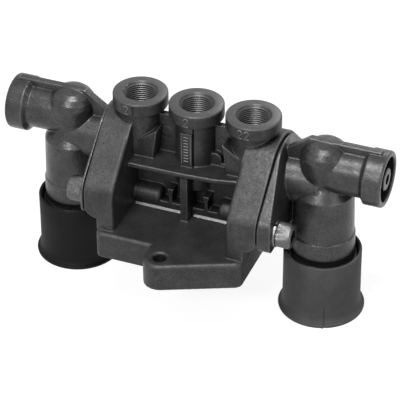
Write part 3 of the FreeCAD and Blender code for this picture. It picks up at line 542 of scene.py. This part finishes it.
def exhaust_cup(name, x, seam, material, node_name):
    """A thin skirt with a flared hem, a floor with an opening and a collar that grips the cylinder."""
    mesh = bmesh.new()
    collar = [(20.2, -5.9), (20.2, 1.6), (20.6, 2.0), (21.4, 2.0), (21.8, 1.6), (21.8, -5.0), (23.0, -5.0)]
    rim = [(23.0, 5.4), (23.3, 6.0), (23.9, 6.2), (24.5, 6.0), (24.8, 5.3)]
    skirt = [(24.75, -10.0), (24.85, -22.0), (24.87, -26.0), (24.9, -30.0), (25.0, -32.6)]
    flare = [(25.3, -34.0), (25.9, -35.2), (26.35, -35.75), (26.3, -35.95)]
    lip = [(26.9, -36.05), (27.4, -36.4), (27.65, -37.1), (27.5, -37.9), (26.9, -38.38)]
    hem = [(25.0, -38.4), (24.0, -38.1), (23.5, -37.2)]
    base = [(23.0, -9.6), (22.6, -9.0), (13.4, -9.0), (13.0, -8.6), (13.0, -6.4), (13.4, -6.0)]
    lathe(mesh, collar + rim + skirt + flare + lip + hem + base, (x, 0, 0), steps=360)
    # A moulding seam low on the skirt: a raised line, a slit beside it and a nick in the hem.
    for vert in mesh.verts:
        turn = math.atan2(vert.co.y, vert.co.x - x)
        off = math.remainder(turn - seam, 2 * math.pi) * CUP_R
        radius = math.hypot(vert.co.x - x, vert.co.y)
        if vert.co.z < -24 and radius > CUP_R - 0.5 and abs(off) < 2.2:
            raised = 0.5 * math.exp(-((off + 0.55) / 0.5) ** 2)
            slit = 0.6 * math.exp(-((off - 0.45) / 0.4) ** 2)
            fade = min(1.0, (-24 - vert.co.z) / 2)
            vert.co.x += (raised - slit) * fade * math.cos(turn)
            vert.co.y += (raised - slit) * fade * math.sin(turn)
    cup = new_piece(name, mesh, material, "valve", smooth_angle=50)
    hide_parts(node_name)
    return cup


for side, way, seam, rubber in (("left", -1, 112, BLACK_RUBBER), ("right", 1, -68, GREY_RUBBER)):
    exhaust_cup(
        side + "_rubber_cup",
        way * ELBOW_X,
        math.radians(seam),
        rubber,
        side + "_exhaust_cup",
    )

# Smaller solids keep their shape, with a slight round on their edges.
FINISHES = {
    "flange_gasket": (GASKET_SHEET, 0.15),
    "shuttle_seat": (BRASS, 0.2),
    "seat_clip": (SPRING_STEEL, 0.15),
    "port_spigot": (SPIGOT_STEEL, 0.3),
    "diaphragm": (BLACK_RUBBER, 0.3),
    "exhaust_insert": (NYLON, 0.25),
    "insert_seal": (BLACK_RUBBER, 0.2),
    "retaining_ring": (SPRING_STEEL, 0.15),
}
for side in ("left", "right"):
    for name, (material, edge) in FINISHES.items():
        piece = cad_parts["%s_%s" % (side, name)]
        finish_piece(piece, material, 32)
        bevel = piece.modifiers.new("broken edges", "BEVEL")
        bevel.width = edge * MM
        bevel.segments = 2
        bevel.limit_method = "ANGLE"
        bevel.angle_limit = math.radians(40)
finish_piece(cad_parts["shuttle"], ACETAL, 32)

# Floor, light and camera.


def white_to_camera(tree, shade, white):
    """Camera, mirror and glass rays see plain white; other rays see the dimmer shade."""
    path = node(tree, "ShaderNodeLightPath")
    direct = node(
        tree,
        "ShaderNodeMath",
        {"operation": "MAXIMUM"},
        {0: path.outputs["Is Camera Ray"], 1: path.outputs["Is Transmission Ray"]},
    )
    seen = node(
        tree,
        "ShaderNodeMath",
        {"operation": "MAXIMUM"},
        {0: direct.outputs[0], 1: path.outputs["Is Glossy Ray"]},
    )
    return node(tree, "ShaderNodeMixShader", links={0: seen.outputs[0], 1: shade, 2: white}).outputs[0]


world = bpy.data.worlds.new("studio")
bpy.context.scene.world = world
world.use_nodes = True
sky = world.node_tree
sky.nodes.clear()
direction = node(sky, "ShaderNodeTexCoord")
split = node(sky, "ShaderNodeSeparateXYZ", {}, {0: direction.outputs["Generated"]})
height = spread(sky, split.outputs["Z"], -0.05, 0.9, 0.01, 0.16)
dim = node(sky, "ShaderNodeBackground", {"Color": linear("ffffff")}, {"Strength": height})
bright = node(sky, "ShaderNodeBackground", {"Color": linear("ffffff"), "Strength": 1.0})
seen_sky = white_to_camera(sky, dim.outputs[0], bright.outputs[0])
node(sky, "ShaderNodeOutputWorld", links={"Surface": seen_sky})

floor_mesh = bmesh.new()
bmesh.ops.create_grid(floor_mesh, x_segments=1, y_segments=1, size=FLOOR_SIZE)
floor_data = bpy.data.meshes.new("floor")
bmesh.ops.transform(floor_mesh, matrix=Matrix.Translation((0, 0, FLOOR_Z)), verts=floor_mesh.verts)
bmesh.ops.scale(floor_mesh, vec=(MM, MM, MM), verts=floor_mesh.verts)
floor_mesh.to_mesh(floor_data)
floor_mesh.free()
floor = bpy.data.objects.new("floor", floor_data)
bpy.context.collection.objects.link(floor)
paper = bpy.data.materials.new("white studio paper")
paper.use_nodes = True
tree = paper.node_tree
tree.nodes.clear()
sheet = node(tree, "ShaderNodeBsdfDiffuse", {"Color": linear("8c8c8c")})
glow = node(tree, "ShaderNodeEmission", {"Color": linear("ffffff"), "Strength": 0.9})
both = node(tree, "ShaderNodeAddShader", links={0: sheet.outputs[0], 1: glow.outputs[0]})
seen_paper = white_to_camera(tree, sheet.outputs[0], both.outputs[0])
node(tree, "ShaderNodeOutputMaterial", links={"Surface": seen_paper})
floor_data.materials.append(paper)


MIDDLE = (0, 0, 0.04)


def softbox(name, spot, width, height, power):
    """An area lamp, its place and size in metres, aimed at the middle of the valve."""
    lamp = bpy.data.lights.new(name, "AREA")
    lamp.shape = "RECTANGLE"
    lamp.size = width
    lamp.size_y = height
    lamp.energy = power
    holder = bpy.data.objects.new(name, lamp)
    holder.location = spot
    holder.rotation_euler = (Vector(MIDDLE) - Vector(spot)).to_track_quat("-Z", "Y").to_euler()
    bpy.context.collection.objects.link(holder)
    return holder


softbox("key softbox", (-0.1, -1.06, 0.82), 0.28, 0.22, 6.5)
softbox("right softbox", (1.05, -0.5, 0.4), 0.5, 0.4, 2.0)
softbox("top softbox", (0.0, -0.35, 1.1), 0.35, 0.3, 9.0)
softbox("rear rim light", (0.1, 0.9, 0.7), 0.5, 0.15, 2.5)

# The camera: solved from the photograph's ellipses, about the centre of the middle port's top face.
AZIMUTH = math.radians(21.844)
ELEVATION = math.radians(35.450)
ROLL = math.radians(-0.435)
DISTANCE = 1353.1
FOCAL_PIXELS = 2191.68
SHIFT_RIGHT = -2.049
SHIFT_UP = 60.246
PHOTO_PIXELS = 400.0
SENSOR = 36.0

right = Vector((math.cos(AZIMUTH), math.sin(AZIMUTH), 0))
level = math.cos(ELEVATION)
back = Vector((math.sin(AZIMUTH) * level, -math.cos(AZIMUTH) * level, math.sin(ELEVATION)))
up = back.cross(right)
across = math.cos(ROLL) * right + math.sin(ROLL) * up
upward = -math.sin(ROLL) * right + math.cos(ROLL) * up
spot = -SHIFT_RIGHT * across - SHIFT_UP * upward + DISTANCE * back + Vector((0, 0, PORT_TOP))
lens = bpy.data.cameras.new("camera")
lens.sensor_width = SENSOR
lens.lens = SENSOR * FOCAL_PIXELS / PHOTO_PIXELS
camera = bpy.data.objects.new("camera", lens)
turned = Matrix((across, upward, back)).transposed().to_4x4()
camera.matrix_world = Matrix.Translation(spot * MM) @ turned
bpy.context.collection.objects.link(camera)
bpy.context.scene.camera = camera

bpy.context.scene.view_settings.view_transform = "Standard"
